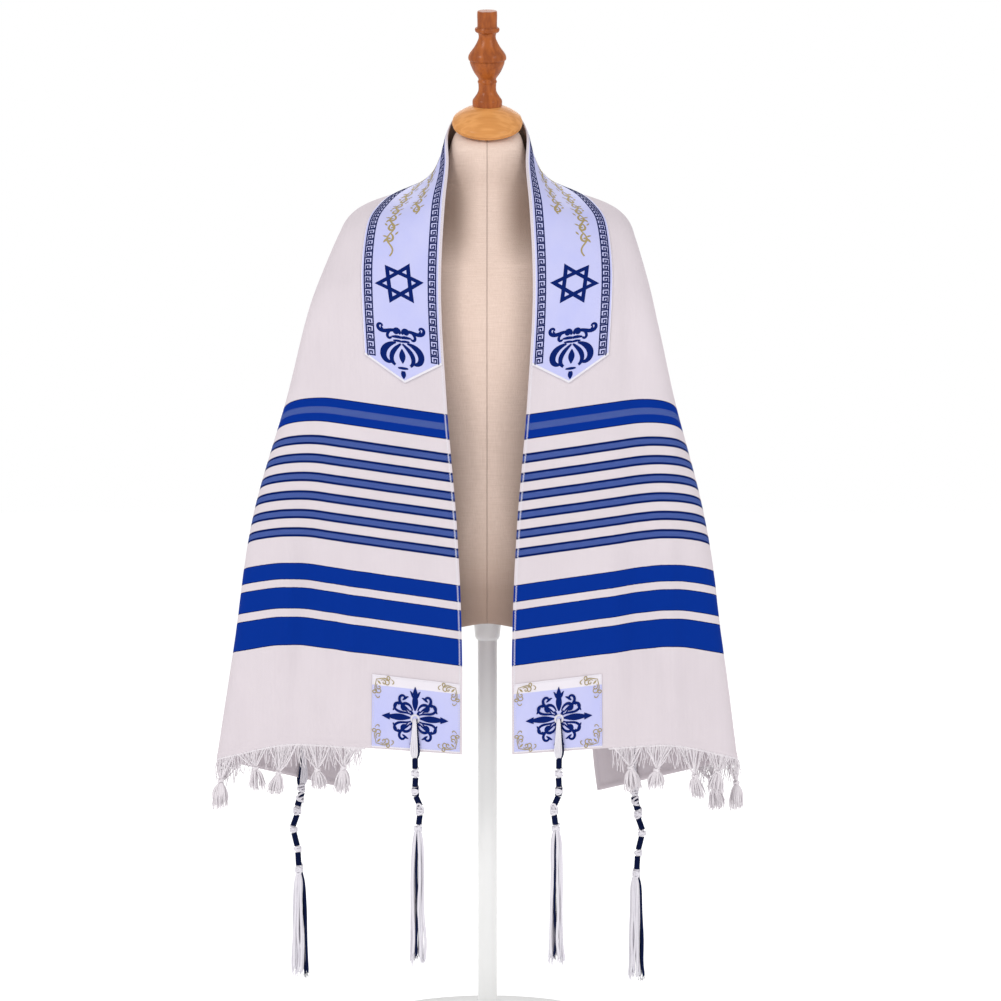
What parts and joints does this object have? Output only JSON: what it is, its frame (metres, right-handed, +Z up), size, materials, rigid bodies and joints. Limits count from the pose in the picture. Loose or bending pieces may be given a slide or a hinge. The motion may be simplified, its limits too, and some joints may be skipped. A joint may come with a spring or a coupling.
{
  "type": "tallit prayer shawl on a limbless dress form",
  "caption": "Striped fringed prayer shawl with a satin neckband and knotted corner tassels, draped over a linen dress form on a pole stand with a round base.",
  "frame": {"origin": "on the floor, in the middle of the underside of the stand's base", "axes": "+Z up, -Y the front of the shawl, +X to the right of a viewer who faces the front"},
  "size_m": [0.6678, 0.38, 1.3386],
  "materials": {
    "shawl_weave": "white woven cloth with royal blue stripes across both ends",
    "neckband_satin": "pale lavender satin with a navy Greek key border",
    "patch_satin": "pale lavender satin with a blue scroll ornament",
    "tassel_yarn": "white yarn wound and knotted with navy yarn",
    "fringe_yarn": "white knotted yarn",
    "form_linen": "natural beige linen, matt",
    "cap_wood": "golden varnished wood",
    "finial_wood": "orange-brown varnished turned wood",
    "stand_paint": "white powder coat"
  },
  "bodies": {
    "root": {"shawl_cloth": "shawl_weave", "neckband": "neckband_satin", "corner_patch_front_left": "patch_satin", "corner_patch_front_right": "patch_satin", "corner_patch_rear_left": "patch_satin", "corner_patch_rear_right": "patch_satin", "tzitzit_front_left": "tassel_yarn", "tzitzit_front_right": "tassel_yarn", "tzitzit_rear_left": "tassel_yarn", "tzitzit_rear_right": "tassel_yarn", "fringe_left": "fringe_yarn", "fringe_right": "fringe_yarn", "form_body": "form_linen", "neck_cap": "cap_wood", "neck_finial": "finial_wood", "stand_pole": "stand_paint", "stand_base": "stand_paint"}
  },
  "joints": []
}
